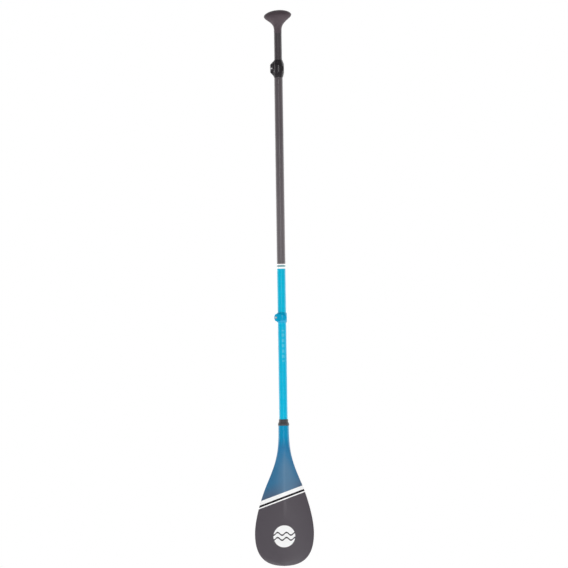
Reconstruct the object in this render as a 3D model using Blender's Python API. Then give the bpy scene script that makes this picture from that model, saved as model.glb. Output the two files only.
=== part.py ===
"""A three-piece stand-up paddle whose length can be set: palm grip, handle, middle shaft and blade.

Two cam-lever clamps hold it together. The upper one lets the handle slide to suit the paddler, and
the lower one lets the blade section pull off its ferrule for packing. Metres, +Z up the shaft, +X
across the blade, -Y the side that the levers close round. Heights are given above the blade's tip,
and the origin is on the shaft's axis, where a hand or a rack clip holds the middle shaft.
"""

from collections import namedtuple
from math import atan2, cos, degrees, pi, radians, sin

import bmesh
import bpy
import numpy as np
from mathutils import Vector

GAP = 0.0003  # between two pieces that touch or nest
SIDES = 40  # of a round piece that shows
HIDDEN_SIDES = 24  # of a round piece inside another
HOLD_HEIGHT = 1.280  # of the origin

# Tubes: outer and inner radii, and the heights of their ends
THICK_TUBE = (0.0145, 0.0133)
THIN_TUBE = (0.0130, 0.0115)
GRIP_SEAM = 1.8033
HANDLE_BOTTOM = 1.2300
MIDDLE_TOP = 1.7037
JOINT = 0.8568  # the middle shaft's lower end
FERRULE_TOP = 0.9370
FERRULE_BOTTOM = 0.7370
BLADE_SHAFT_TOP = 0.8520
BLADE_SHAFT_BOTTOM = 0.4050

# The key on a clamp's lip runs in a groove along the back of the thin tube, so nothing twists
GROOVE = (0.0042, 0.0009)  # width, depth
KEY = (0.0036, 0.0006)  # width, how far it enters the groove
TUBE_SLOT = 0.0030  # the split that lets a tube's end close on what is inside it

# Palm grip, from the seam up: half widths across X, half depths across Y, and heights
GRIP_HEIGHT = 0.0767
GRIP_LOBE = 0.0464
GRIP_DEPTH = 0.0192
GRIP_LOBE_HEIGHT = 0.0581
GRIP_SWEEP_START = 0.0100
GRIP_TILT = radians(3.8)  # one lobe sits a little higher than the other
GRIP_SPIGOT = 0.0450
GRIP_SIDES = 28

# Blade, from the tip up
NECK_TOP = 0.4735
NECK_RADIUS = 0.0174
NECK_END = 0.4400
PLATE_START = 0.3200
BLADE_EDGE = (
    ((0.0176, 0.4550), (0.0176, 0.3602), (0.0402, 0.3232), (0.0617, 0.2700)),
    ((0.0617, 0.2700), (0.0821, 0.2193), (0.1000, 0.1537), (0.1000, 0.1103)),
    ((0.1000, 0.1103), (0.1000, 0.0339), (0.0665, 0.0000), (0.0000, 0.0000)),
)
BLADE_ROWS = (8, 5, 8)  # along each stretch of the edge
BLADE_COLUMNS = 16
CORE_COLUMNS = 10
BLADE_RAKE = radians(10)
RAKE_START = 0.4000
RAKE_BLEND = 0.1500
BLADE_CUP = 0.0045  # how far the edges stand back from the middle, towards the power face
EDGE_THICKNESS = 0.0005
TIP_TAPER = 0.0400  # how far from the tip the blade starts to thin
PLATE_THICKNESS = 0.0019
LENS_THICKNESS = 0.0024
SPINE_HEIGHT = 0.0085
SPINE_WIDTH = 0.0165
SPINE_END = 0.1500
SKIN = 0.0011
RIM = 0.0120  # the solid border round the foam core
CORE_TOP = 0.4000

Clamp = namedtuple(
    "Clamp",
    "name height radius top top_radius shoulder bottom bottom_radius lip"
    " reach tip ear ear_corner bulge lever lever_corner thumb slot",
)
UPPER = Clamp(
    name="upper_clamp",
    height=1.6820,  # of the bolt
    radius=0.0198,
    top=0.0296,
    top_radius=0.0142,
    shoulder=0.0148,  # the full-width part's half height
    bottom=-0.0300,
    bottom_radius=0.0159,
    lip=0.0076,
    reach=0.0205,  # from the shaft's axis to the bolt
    tip=0.0271,  # from the shaft's axis to the ears' ends
    ear=0.0270,  # half height
    ear_corner=(0.0135, 0.0150),
    bulge=1.08,  # 1 is a straight chamfer and 2 is a quarter circle
    lever=0.0165,
    lever_corner=(0.0060, 0.0060),
    thumb=0.0085,
    slot=0.0440,
)
LOWER = Clamp(
    name="lower_clamp",
    height=0.8395,
    radius=0.0171,
    top=0.0170,
    top_radius=0.0157,
    shoulder=0.0142,
    bottom=-0.0170,
    bottom_radius=0.0157,
    lip=0.0042,
    reach=0.0183,
    tip=0.0256,
    ear=0.0135,
    ear_corner=(0.0110, 0.0110),
    bulge=2.0,
    lever=0.0130,
    lever_corner=(0.0105, 0.0105),
    thumb=0.0070,
    slot=0.0240,
)
EAR_FACE = 0.0090  # from the split's middle to an ear's outer face
PLATE = (0.0100, 0.0010)  # the wear plate's width and thickness
KNUCKLE = 0.0065
CAM_DROP = 0.0012  # how much less the cam reaches when the lever is open
BARREL = 0.0042
BOLT = 0.0025
BOLT_HOLE = BOLT + GAP
BOLT_HEAD = (0.0043, 0.0050)
WASHER = (0.0052, 0.0010)
LEVER_THICKNESS = 0.0031
LEVER_CLEARANCE = 0.0005
PIN_DEPTH = EAR_FACE + GAP + PLATE[1] + GAP + KNUCKLE


def clear_scene():
    for found in list(bpy.data.objects):
        bpy.data.objects.remove(found, do_unlink=True)


def above_origin(height):
    return height - HOLD_HEIGHT


def material(name, colour, roughness, metallic=0.0):
    made = bpy.data.materials.new(name)
    made.use_nodes = True
    shader = made.node_tree.nodes["Principled BSDF"]
    shader.inputs["Base Color"].default_value = (*colour, 1.0)
    shader.inputs["Roughness"].default_value = roughness
    shader.inputs["Metallic"].default_value = metallic
    made.diffuse_color = (*colour, 1.0)
    return made


def finish_shape(name, shape, sharp=40):
    """Turns a bmesh into an object, with its faces outwards and its round sides shaded smooth."""
    bmesh.ops.remove_doubles(shape, verts=shape.verts, dist=1e-7)
    bmesh.ops.recalc_face_normals(shape, faces=shape.faces)
    mesh = bpy.data.meshes.new(name)
    shape.to_mesh(mesh)
    shape.free()
    mesh.shade_smooth()
    mesh.set_sharp_from_angle(angle=radians(sharp))
    made = bpy.data.objects.new(name, mesh)
    bpy.context.scene.collection.objects.link(made)
    return made


def place(piece, parent, height, across=0.0, depth=0.0):
    """Puts a piece at a height above the blade's tip and parents it, where a parent never turns."""
    piece.location = Vector((across, depth, above_origin(height))) - parent.location
    piece.parent = parent
    return piece


def section(name, height, parent=None):
    """An empty on the shaft's axis, which carries the pieces that move together."""
    made = bpy.data.objects.new(name, None)
    bpy.context.scene.collection.objects.link(made)
    made.location.z = above_origin(height)
    if parent:
        made.location -= parent.location
        made.parent = parent
    return made


def turned(name, outline, sides=SIDES):
    """Turns an outline of (radius, height) about Z. One that starts on the axis also ends there."""
    shape = bmesh.new()
    points = [shape.verts.new((radius, 0, height)) for radius, height in outline]
    loose = outline[0][0] == 0
    after = points[1:] if loose else points[1:] + points[:1]
    edges = [shape.edges.new(pair) for pair in zip(points, after)]
    bmesh.ops.spin(
        shape,
        geom=points + edges,
        cent=(0, 0, 0),
        axis=(0, 0, 1),
        angle=2 * pi,
        steps=sides,
        use_merge=True,
    )
    return finish_shape(name, shape)


def tube(name, radii, length):
    outer, inner = radii
    return turned(name, [(outer, length), (inner, length), (inner, 0), (outer, 0)])


def plug(name, steps, chamfer=0.001):
    """A stepped round plug from (radius, bottom, top) steps, low to high, with chamfered ends."""
    outline = [(0, steps[0][1])]
    for radius, low, high in steps:
        outline += [(radius, low), (radius, high)]
    outline.append((0, steps[-1][2]))
    first, last = outline[1], outline[-2]
    outline[1:2] = [(first[0] - chamfer, first[1]), (first[0], first[1] + chamfer)]
    outline[-2:-1] = [(last[0], last[1] - chamfer), (last[0] - chamfer, last[1])]
    return turned(name, outline, HIDDEN_SIDES)


def extruded(name, outline, low, high, along="Y", chamfer=0.0):
    """Extrudes an outline along Y, where its points are (x, z), or along Z, where they are (x, y)."""
    shape = bmesh.new()
    if along == "Y":
        corners = [shape.verts.new((u, low, v)) for u, v in outline]
        travel = Vector((0, high - low, 0))
    else:
        corners = [shape.verts.new((u, v, low)) for u, v in outline]
        travel = Vector((0, 0, high - low))
    start = shape.faces.new(corners)
    moved = bmesh.ops.extrude_face_region(shape, geom=[start], use_keep_orig=True)
    far = [item for item in moved["geom"] if isinstance(item, bmesh.types.BMVert)]
    bmesh.ops.translate(shape, verts=far, vec=travel)
    if chamfer:
        bmesh.ops.recalc_face_normals(shape, faces=shape.faces)
        ends = [face for face in shape.faces if len(face.verts) == len(outline) and len(outline) > 4]
        rims = list({edge for face in ends for edge in face.edges})
        bmesh.ops.bevel(shape, geom=rims, offset=chamfer, segments=1, affect="EDGES", profile=0.5)
    return finish_shape(name, shape)


def block(name, low, high):
    outline = [(low[0], low[2]), (high[0], low[2]), (high[0], high[2]), (low[0], high[2])]
    return extruded(name, outline, low[1], high[1])


def rod(name, radius, low, high, across=0.0, height=0.0, sides=24):
    """A round rod along Y, centred at (across, height)."""
    turns = [2 * pi * i / sides for i in range(sides)]
    outline = [(across + radius * cos(a), height + radius * sin(a)) for a in turns]
    return extruded(name, outline, low, high)


def combine(piece, tool, operation):
    """Cuts, joins or intersects a piece with a helper, which has its place in the piece's own axes."""
    tool.hide_render = True
    tool.display_type = "WIRE"
    tool.parent = piece
    step = piece.modifiers.new(tool.name, "BOOLEAN")
    step.operation = operation
    step.solver = "EXACT"
    step.object = tool


def bezier(points, t):
    """A cubic through its four control points, at the parameters t."""
    a, b, c, d = (np.array(point) for point in points)
    t = np.asarray(t, float)[:, None]
    s = 1 - t
    return a * s**3 + 3 * b * s**2 * t + 3 * c * s * t**2 + d * t**3


def ease(value):
    """0 below 0, 1 above 1, and a smooth step between."""
    value = np.clip(value, 0, 1)
    return value * value * (3 - 2 * value)


# ---- handle section ----


def handle_grip():
    """One moulding: a spigot for the tube, a sweep, two lobes and a dome, lofted from oval rings."""
    spigot = THIN_TUBE[1] - GAP
    neck = THIN_TUBE[0]
    low = [(spigot - 0.001, -GRIP_SPIGOT), (spigot, 0.001 - GRIP_SPIGOT), (spigot, 0), (neck, 0)]
    sweep = ((neck, GRIP_SWEEP_START), (neck, 0.0383), (GRIP_LOBE, 0.0436), (GRIP_LOBE, GRIP_LOBE_HEIGHT))
    dome = (sweep[3], (GRIP_LOBE, 0.0661), (0.0282, GRIP_HEIGHT), (0.0, GRIP_HEIGHT))
    upper = [*bezier(sweep, np.linspace(0, 1, 11)), *bezier(dome, np.linspace(0, 1, 11))[1:-1]]
    widest = (GRIP_LOBE - neck) / (GRIP_DEPTH - neck)
    rings = [(wide, wide, height) for wide, height in low]
    for wide, height in upper:
        deep = neck + (wide - neck) / widest if height < GRIP_LOBE_HEIGHT else wide * GRIP_DEPTH / GRIP_LOBE
        rings.append((wide, deep, height))
    shape = bmesh.new()
    turns = np.arange(GRIP_SIDES) * 2 * pi / GRIP_SIDES
    loops = []
    for wide, deep, height in rings:
        lean = GRIP_TILT * ease((height - GRIP_SWEEP_START) / 0.035)
        xs, ys = wide * np.cos(turns), deep * np.sin(turns)
        loops.append([shape.verts.new((x, y, height + lean * x)) for x, y in zip(xs, ys)])
    for ring, over in zip(loops, loops[1:]):
        for i in range(GRIP_SIDES):
            shape.faces.new((ring[i - 1], ring[i], over[i], over[i - 1]))
    shape.faces.new(loops[0][::-1])
    crown = shape.verts.new((0, 0, GRIP_HEIGHT))
    for i in range(GRIP_SIDES):
        shape.faces.new((loops[-1][i - 1], loops[-1][i], crown))
    return finish_shape("handle_grip", shape, sharp=60)


def groove_cutter(name, length):
    width, depth = GROOVE
    outer = THIN_TUBE[0]
    return block(name, (-width / 2, outer - depth, -0.01), (width / 2, outer + 0.002, length + 0.01))


def thin_tube(name, length):
    """A thin tube with the anti-twist groove along its back."""
    made = tube(name, THIN_TUBE, length)
    combine(made, groove_cutter(name + "_groove", length), "DIFFERENCE")
    return made


def handle_end_plug():
    """Closes the handle's lower end, with a groove between its two flanges for the seal."""
    spigot, flange = THIN_TUBE[1] - GAP, THIN_TUBE[0] - 0.0001
    floor = THIN_TUBE[0] - 0.0023
    steps = [(flange, -0.0110, -0.0072), (floor, -0.0072, -0.0042), (flange, -0.0042, -GAP), (spigot, -GAP, 0.024)]
    return plug("handle_end_plug", steps)


def handle_seal():
    """A rubber ring in the plug's groove."""
    radius, thickness = THIN_TUBE[0] - 0.0010, 0.0010
    turns = [2 * pi * i / 8 for i in range(8)]
    outline = [(radius + thickness * cos(a), -thickness * sin(a)) for a in turns]
    return turned("handle_seal", outline, HIDDEN_SIDES)


# ---- clamps ----


def corner(size, bulge, steps=5):
    """A corner's points from its side to its top: a quarter of |x|^bulge + |y|^bulge = 1."""
    wide, tall = size
    angles = np.linspace(0, pi / 2, steps + 1)
    return np.column_stack((wide * np.cos(angles) ** (2 / bulge), tall * np.sin(angles) ** (2 / bulge)))


def ear_outline(clamp):
    """Front view of the two ears, from the shaft's axis out to their rounded or chamfered ends."""
    wide, tall = clamp.ear_corner
    turn = corner(clamp.ear_corner, clamp.bulge)
    upper = [(-(clamp.tip - wide) - x, clamp.ear - tall + y) for x, y in turn]
    lower = [(x, -y) for x, y in upper]
    return [(-0.004, clamp.ear), *reversed(upper), *lower, (-0.004, -clamp.ear)]


def clamp_seats(clamp):
    """Cutters for the flat seats beside the ears: round for the washer and oblong for the plate."""
    room = 0.0004
    washer = rod(clamp.name + "_washer_seat", WASHER[0] + room, EAR_FACE, 0.03, across=-clamp.reach)
    half, tall = PLATE[0] / 2 + room, clamp.lever - 0.0035 + room
    low, high = (-half - clamp.reach, -0.03, -tall), (half - clamp.reach, -EAR_FACE, tall)
    return washer, block(clamp.name + "_plate_seat", low, high)


def clamp_collar(clamp):
    """The moulded collar: a ring with tapered ends, a lip over the tube's end, and two split ears."""
    body = [
        (0, clamp.bottom),
        (clamp.bottom_radius, clamp.bottom),
        (clamp.radius, -clamp.shoulder),
        (clamp.radius, clamp.shoulder),
        (clamp.top_radius, clamp.top),
        (0, clamp.top),
    ]
    made = turned(clamp.name + "_collar", body)
    ears = extruded(clamp.name + "_ears", ear_outline(clamp), -EAR_FACE, EAR_FACE, chamfer=0.0008)
    bore, lip = THICK_TUBE[0] + GAP, THIN_TUBE[0] + GAP
    step = clamp.top - clamp.lip
    hollow = [(0, clamp.bottom - 0.01), (bore, clamp.bottom - 0.01), (bore, step), (lip, step)]
    hollow += [(lip, clamp.top + 0.01), (0, clamp.top + 0.01)]
    split = block(
        clamp.name + "_split",
        (-0.05, -TUBE_SLOT / 2, clamp.bottom - 0.01),
        (-0.008, TUBE_SLOT / 2, clamp.top + 0.01),
    )
    hole = rod(clamp.name + "_hole", BOLT_HOLE, -0.02, 0.02, across=-clamp.reach)
    width, depth = KEY
    inner = THIN_TUBE[0] - depth
    key = block(
        clamp.name + "_key", (-width / 2, inner, step + GAP), (width / 2, lip + 0.0006, clamp.top - GAP)
    )
    combine(made, ears, "UNION")
    combine(made, turned(clamp.name + "_hollow", hollow), "DIFFERENCE")
    combine(made, split, "DIFFERENCE")
    combine(made, hole, "DIFFERENCE")
    for seat in clamp_seats(clamp):
        combine(made, seat, "DIFFERENCE")
    combine(made, key, "UNION")
    return made


def cam_radius(angle):
    """The knuckle's radius at an angle in degrees from +X: full where it presses when closed."""
    return KNUCKLE - CAM_DROP * float(ease((angle - 97) / 70) - ease((angle - 240) / 40))


def lever_section(clamp):
    """The lever seen from above, from its barrel's axis: a cam and an arm that wraps the collar."""
    inner = clamp.radius + LEVER_CLEARANCE
    outer = inner + LEVER_THICKNESS
    start = degrees(atan2(-PIN_DEPTH, -clamp.reach)) % 360
    end = 320

    def round_shaft(radius, angle):
        turn = radians(angle)
        return clamp.reach + radius * cos(turn), PIN_DEPTH + radius * sin(turn)

    knuckle = [(cam_radius(a) * cos(radians(a)), cam_radius(a) * sin(radians(a))) for a in range(45, 291, 9)]
    back = [round_shaft(outer, a) for a in np.linspace(start + 27, end - 12, 12)]
    lip = [round_shaft(outer + 0.0016, end - 3), round_shaft(outer + 0.0020, end)]
    lip += [round_shaft(outer + 0.0006, end + 2.5), round_shaft(inner + 0.0006, end + 2)]
    front = [round_shaft(inner, a) for a in np.linspace(end, start + 7, 14)]
    return knuckle + back + lip + front


def lever_outline(clamp):
    """The lever seen from the front, from its barrel's axis: tall at the hinge, slim at the thumb."""
    wide, tall = clamp.lever_corner
    left = clamp.reach - clamp.tip
    turn = corner(clamp.lever_corner, 2.0)
    hinge = [(left + wide - x, clamp.lever - tall + y) for x, y in turn][::-1]
    right = clamp.reach + clamp.radius
    round_end = corner((0.005, 0.005), 2.0)
    thumb = [(right - 0.005 + x, clamp.thumb - 0.005 + y) for x, y in round_end]
    upper = [*thumb, (clamp.reach + 0.004, clamp.thumb + 0.0022), (0.009, clamp.lever - 0.0006), *hinge]
    return upper + [(x, -y) for x, y in reversed(upper)]


def clamp_lever(clamp):
    """The cam lever: its plan and its front view, each extruded, meet in one curved piece."""
    reach = clamp.lever + 0.002
    made = extruded(clamp.name + "_lever", lever_section(clamp), -reach, reach, along="Z")
    front = extruded(clamp.name + "_lever_front", lever_outline(clamp), -0.03, 0.03)
    hole = turned(
        clamp.name + "_lever_hole",
        [(0, -0.03), (BARREL + GAP, -0.03), (BARREL + GAP, 0.03), (0, 0.03)],
        HIDDEN_SIDES,
    )
    height = BOLT + 0.0005
    slot = block(clamp.name + "_lever_slot", (-0.02, -0.02, -height), (0.0030, 0.02, height))
    combine(made, front, "INTERSECT")
    combine(made, hole, "DIFFERENCE")
    combine(made, slot, "DIFFERENCE")
    return made


def clamp_barrel(clamp):
    """The cross-drilled barrel nut that the lever turns on."""
    half = clamp.lever - 0.0040
    edge = 0.0005
    outline = [(0, -half), (BARREL - edge, -half), (BARREL, edge - half), (BARREL, half - edge)]
    made = turned(clamp.name + "_barrel", [*outline, (BARREL - edge, half), (0, half)], HIDDEN_SIDES)
    combine(made, rod(clamp.name + "_barrel_hole", BOLT_HOLE, -0.01, 0.01), "DIFFERENCE")
    return made


def clamp_bolt(clamp):
    """The tension bolt, from its socket head behind the back ear to its end in the barrel."""
    head, tall = BOLT_HEAD
    under = EAR_FACE + GAP + WASHER[1] + GAP
    made = rod(clamp.name + "_bolt", BOLT, -PIN_DEPTH - 0.0030, under + 0.002)
    cap = rod(clamp.name + "_bolt_head", head, under, under + tall, sides=32)
    socket = rod(clamp.name + "_bolt_socket", 0.0023, under + tall - 0.0025, under + tall + 0.01, sides=6)
    combine(made, cap, "UNION")
    combine(made, socket, "DIFFERENCE")
    return made


def clamp_wear_plate(clamp):
    """The steel plate that the cam slides on, with clipped corners and a hole for the bolt."""
    half, tall = PLATE[0] / 2, clamp.lever - 0.0035
    outline = [(-half, tall - 0.002), (0.002 - half, tall), (half - 0.002, tall), (half, tall - 0.002)]
    outline += [(x, -y) for x, y in reversed(outline)]
    near = -EAR_FACE - GAP
    made = extruded(clamp.name + "_wear_plate", outline, near - PLATE[1], near)
    combine(made, rod(clamp.name + "_plate_hole", BOLT_HOLE, near - 0.01, near + 0.01), "DIFFERENCE")
    return made


def clamp_washer(clamp):
    near = EAR_FACE + GAP
    made = rod(clamp.name + "_washer", WASHER[0], near, near + WASHER[1], sides=32)
    combine(made, rod(clamp.name + "_washer_hole", BOLT_HOLE, near - 0.01, near + 0.01), "DIFFERENCE")
    return made


def add_clamp(clamp, carrier, paints):
    """One clamp round a tube's split end, its lever's origin on the barrel's axis."""
    moulding, steel = paints
    collar = place(clamp_collar(clamp), carrier, clamp.height)
    lever = place(clamp_lever(clamp), carrier, clamp.height, -clamp.reach, -PIN_DEPTH)
    for piece in (collar, lever):
        piece.data.materials.append(moulding)
    place(clamp_barrel(clamp), carrier, clamp.height, -clamp.reach, -PIN_DEPTH).data.materials.append(steel)
    for make in (clamp_bolt, clamp_wear_plate, clamp_washer):
        place(make(clamp), carrier, clamp.height, -clamp.reach).data.materials.append(steel)


# ---- shafts ----


def split_tube(name, length, slot):
    """A thick tube whose upper end is split on the clamp's side, down to a round relief hole."""
    made = tube(name, THICK_TUBE, length)
    half = TUBE_SLOT / 2
    cut = block(name + "_slot", (-0.02, -half, length - slot), (-0.010, half, length + 0.01))
    sides = 16
    turns = [2 * pi * i / sides for i in range(sides)]
    radius = TUBE_SLOT * 0.8
    relief = bmesh.new()
    ends = []
    for x in (-0.02, -0.010):
        ring = [(x, radius * cos(a), length - slot + radius * sin(a)) for a in turns]
        ends.append([relief.verts.new(point) for point in ring])
    relief.faces.new(ends[0])
    relief.faces.new(ends[1])
    for i in range(sides):
        relief.faces.new((ends[0][i - 1], ends[0][i], ends[1][i], ends[1][i - 1]))
    combine(made, cut, "DIFFERENCE")
    combine(made, finish_shape(name + "_relief", relief), "DIFFERENCE")
    return made


def ferrule_cap():
    """Closes the ferrule's lower end and leads it into the blade shaft."""
    steps = [(THIN_TUBE[0] - 0.0005, -0.0050, -GAP), (THIN_TUBE[1] - GAP, -GAP, 0.018)]
    return plug("ferrule_cap", steps, chamfer=0.0015)


def float_plug(name, length):
    """A foam bung that keeps water out of a shaft, so that the paddle floats."""
    return plug(name, [(THICK_TUBE[1] - GAP, 0, length)], chamfer=0.002)


def neck_ring():
    """The black ring that covers the joint of shaft and blade, with a sleeve above it."""
    bore = THICK_TUBE[0] + GAP
    sleeve, ring = 0.0158, 0.0177
    outline = [(bore, 0.0236), (bore, 0), (ring - 0.0008, 0), (ring, 0.0008), (ring, 0.0108)]
    outline += [(ring - 0.0009, 0.0120), (sleeve, 0.0130), (sleeve, 0.0230), (sleeve - 0.0006, 0.0236)]
    return turned("neck_ring", outline)


# ---- blade ----


def edge_rows():
    """The blade's half outline from the top of the neck to just short of the tip, as (x, z) rows."""
    rows = [(NECK_RADIUS, NECK_TOP), (NECK_RADIUS + 0.0001, 0.4640)]
    for stretch, count in zip(BLADE_EDGE, BLADE_ROWS):
        last = 0.985 if stretch is BLADE_EDGE[-1] else 1.0
        rows += [*bezier(stretch, np.linspace(0, last, count + 1)[:-1])]
    rows += [*bezier(BLADE_EDGE[-1], [0.985])]
    return np.array(rows)


def half_width(z):
    """The blade's half width at a height, read from a fine sampling of its outline."""
    fine = np.concatenate([bezier(stretch, np.linspace(0, 1, 60)) for stretch in BLADE_EDGE])
    fine = np.vstack(([NECK_RADIUS, NECK_TOP], fine))[::-1]
    return np.interp(z, fine[:, 1], fine[:, 0])


def half_thickness(x, z):
    """Half the blade's thickness: a round neck that melts into a lens-shaped plate with a spine."""
    flat = ease((NECK_END - z) / (NECK_END - PLATE_START))
    u = np.clip(np.abs(x) / half_width(z), 0, 1)
    fade = 1 - ease((PLATE_START - z) / (PLATE_START - SPINE_END))
    plate = NECK_RADIUS * (1 - flat) + PLATE_THICKNESS * flat
    lens = LENS_THICKNESS * flat * (1 - u**2)
    spine = SPINE_HEIGHT * flat * fade * np.exp(-((x / SPINE_WIDTH) ** 2))
    rounding = np.sqrt(1 - u ** (2 + 8 * flat))
    tip = np.sqrt(1 - (1 - np.clip(z / TIP_TAPER, 0, 1)) ** 4)
    return EDGE_THICKNESS + (plate - EDGE_THICKNESS + lens + spine) * rounding * tip


def middle_surface(x, z):
    """Y of the blade's middle: raked forward below the neck, and cupped towards the power face."""
    run = np.clip(RAKE_START - z, 0, None)
    t = np.clip(run / RAKE_BLEND, 0, 1)
    travel = RAKE_BLEND * (t**3 - t**4 / 2) + np.clip(run - RAKE_BLEND, 0, None)
    flat = ease((NECK_END - z) / (NECK_END - PLATE_START))
    cup = BLADE_CUP * flat * (x / half_width(z)) ** 2
    return cup - np.tan(BLADE_RAKE) * travel


def slab(name, x, z, near, far):
    """A closed solid between two grids of Y values over the same grid of (x, z)."""
    shape = bmesh.new()
    rows, columns = x.shape
    sheets = []
    for depth in (near, far):
        points = np.stack((x, depth, z), axis=-1)
        sheets.append([[shape.verts.new(point) for point in row] for row in points])
    for sheet in sheets:
        for low, high in zip(sheet, sheet[1:]):
            for i in range(1, columns):
                a, b, c, d = low[i - 1], low[i], high[i], high[i - 1]
                split = ((a, b, c), (a, c, d)) if i <= columns // 2 else ((a, b, d), (b, c, d))
                for corners in split:
                    shape.faces.new(corners)
    border = [(0, i) for i in range(columns)] + [(j, columns - 1) for j in range(1, rows)]
    border += [(rows - 1, i) for i in range(columns - 2, -1, -1)] + [(j, 0) for j in range(rows - 2, 0, -1)]
    front, back = sheets
    for (j, i), (k, m) in zip(border, border[1:] + border[:1]):
        shape.faces.new((front[j][i], front[k][m], back[k][m], back[j][i]))
    return finish_shape(name, shape, sharp=50)


def blade_grid(edge, columns):
    """Rows across the blade at each point of its edge, closer together over the spine and at the sides."""
    even = np.linspace(-1, 1, columns + 1)
    across = np.sign(even) * np.sin(pi / 2 * np.abs(even) ** 1.35)
    x = edge[:, :1] * across
    return x, np.repeat(edge[:, 1:], columns + 1, axis=1)


def core_shape(name, clearance):
    """The foam core, or the hollow for it: the blade's outline and faces, both set inwards."""
    edge = edge_rows()
    along = np.gradient(edge, axis=0)
    along /= np.linalg.norm(along, axis=1)[:, None]
    flat = ease((NECK_END - edge[:, 1]) / (NECK_END - PLATE_START))
    inset = (0.0030 + (RIM - 0.0030) * flat + clearance)[:, None]
    inner = edge + inset * np.column_stack((along[:, 1], -along[:, 0]))
    inner = inner[(inner[:, 0] > 0.008) & (edge[:, 1] < CORE_TOP - 0.002)]
    inner[:, 1] = np.minimum.accumulate(inner[:, 1])
    top = np.array([[inner[0, 0], CORE_TOP - clearance]])
    inner = np.vstack((top, inner[inner[:, 1] < CORE_TOP - 0.004]))
    x, z = blade_grid(inner, CORE_COLUMNS)
    deep = np.clip(half_thickness(x, z) - SKIN - clearance, 0.0004, None)
    middle = middle_surface(x, z)
    return slab(name, x, z, middle - deep, middle + deep)


def blade_shell(name, side):
    """One moulded half of the blade, side -1 at the front: skin, rim and half of the neck's socket."""
    x, z = blade_grid(edge_rows(), BLADE_COLUMNS)
    middle = middle_surface(x, z)
    made = slab(name, x, z, middle + side * GAP / 2, middle + side * half_thickness(x, z))
    bore = THICK_TUBE[0] + GAP
    low, high = CORE_TOP - 0.0015, NECK_TOP + 0.01
    socket = turned(name + "_socket", [(0, low), (bore, low), (bore, high), (0, high)])
    combine(made, core_shape(name + "_hollow", 0.0), "DIFFERENCE")
    combine(made, socket, "DIFFERENCE")
    return made


def build():
    clear_scene()
    charcoal = material("charcoal glass fibre", (0.075, 0.070, 0.073), 0.42)
    black = material("black nylon", (0.022, 0.020, 0.021), 0.38)
    grip_black = material("soft black grip", (0.062, 0.058, 0.060), 0.62)
    blue = material("blue glass fibre", (0.006, 0.440, 0.690), 0.30)
    clamp_blue = material("blue nylon", (0.004, 0.370, 0.620), 0.35)
    blade_blue = material("blade lacquer", (0.060, 0.200, 0.360), 0.40)
    steel = material("stainless steel", (0.60, 0.60, 0.61), 0.28, 1.0)
    rubber = material("seal rubber", (0.015, 0.015, 0.015), 0.75)
    foam = material("closed-cell foam", (0.72, 0.70, 0.64), 0.95)

    middle = section("middle_section", HOLD_HEIGHT)
    handle = section("handle_section", UPPER.height, middle)
    lower = section("blade_section", LOWER.height, middle)

    def add(piece, parent, height, paint):
        place(piece, parent, height).data.materials.append(paint)

    add(handle_grip(), handle, GRIP_SEAM, grip_black)
    handle_length = GRIP_SEAM - GAP - HANDLE_BOTTOM
    add(thin_tube("handle_tube", handle_length), handle, HANDLE_BOTTOM, charcoal)
    add(handle_end_plug(), handle, HANDLE_BOTTOM, black)
    add(handle_seal(), handle, HANDLE_BOTTOM - 0.0057, rubber)

    add(split_tube("middle_shaft", MIDDLE_TOP - JOINT, UPPER.slot), middle, JOINT, charcoal)
    add(float_plug("middle_float_plug", 0.050), middle, 1.0400, foam)
    add(thin_tube("joint_ferrule", FERRULE_TOP - FERRULE_BOTTOM), middle, FERRULE_BOTTOM, charcoal)
    add(ferrule_cap(), middle, FERRULE_BOTTOM, black)
    add_clamp(UPPER, middle, (black, steel))

    shaft_length = BLADE_SHAFT_TOP - BLADE_SHAFT_BOTTOM
    add(split_tube("blade_shaft", shaft_length, LOWER.slot), lower, BLADE_SHAFT_BOTTOM, blue)
    add(float_plug("blade_float_plug", 0.050), lower, 0.4200, foam)
    add_clamp(LOWER, lower, (clamp_blue, steel))
    add(neck_ring(), lower, NECK_TOP + GAP, black)
    add(blade_shell("blade_front", -1), lower, 0, blade_blue)
    add(blade_shell("blade_back", 1), lower, 0, blade_blue)
    add(core_shape("blade_core", GAP), lower, 0, foam)


build()
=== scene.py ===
"""Looks for a three-piece stand-up paddle: palm grip, sliding handle, middle shaft and blade.

The sections follow the paddle from the grip down to the blade's tip, and the studio comes last.
Metres, +Z up the shaft, +X across the blade, -Y the side that the clamps' levers close round.
"""

from math import cos, pi, radians, sin, tan

import bmesh
import bpy
import numpy as np
from mathutils import Matrix, Vector


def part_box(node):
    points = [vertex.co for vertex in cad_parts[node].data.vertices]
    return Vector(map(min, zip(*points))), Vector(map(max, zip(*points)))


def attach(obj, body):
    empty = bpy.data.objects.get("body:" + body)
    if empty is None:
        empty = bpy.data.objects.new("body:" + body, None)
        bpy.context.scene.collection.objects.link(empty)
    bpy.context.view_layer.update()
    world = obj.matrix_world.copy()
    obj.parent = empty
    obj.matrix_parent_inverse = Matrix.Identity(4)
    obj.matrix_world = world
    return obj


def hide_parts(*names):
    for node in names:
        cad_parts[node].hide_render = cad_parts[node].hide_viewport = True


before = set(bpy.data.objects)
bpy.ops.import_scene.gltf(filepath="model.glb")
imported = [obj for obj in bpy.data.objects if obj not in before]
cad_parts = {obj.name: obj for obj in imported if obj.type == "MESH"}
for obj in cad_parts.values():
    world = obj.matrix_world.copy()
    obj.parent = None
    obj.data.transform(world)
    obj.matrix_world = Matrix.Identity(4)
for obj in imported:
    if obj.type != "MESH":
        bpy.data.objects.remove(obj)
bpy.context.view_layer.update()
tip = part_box("blade_front")[0].z  # heights below are above the blade's tip


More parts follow.
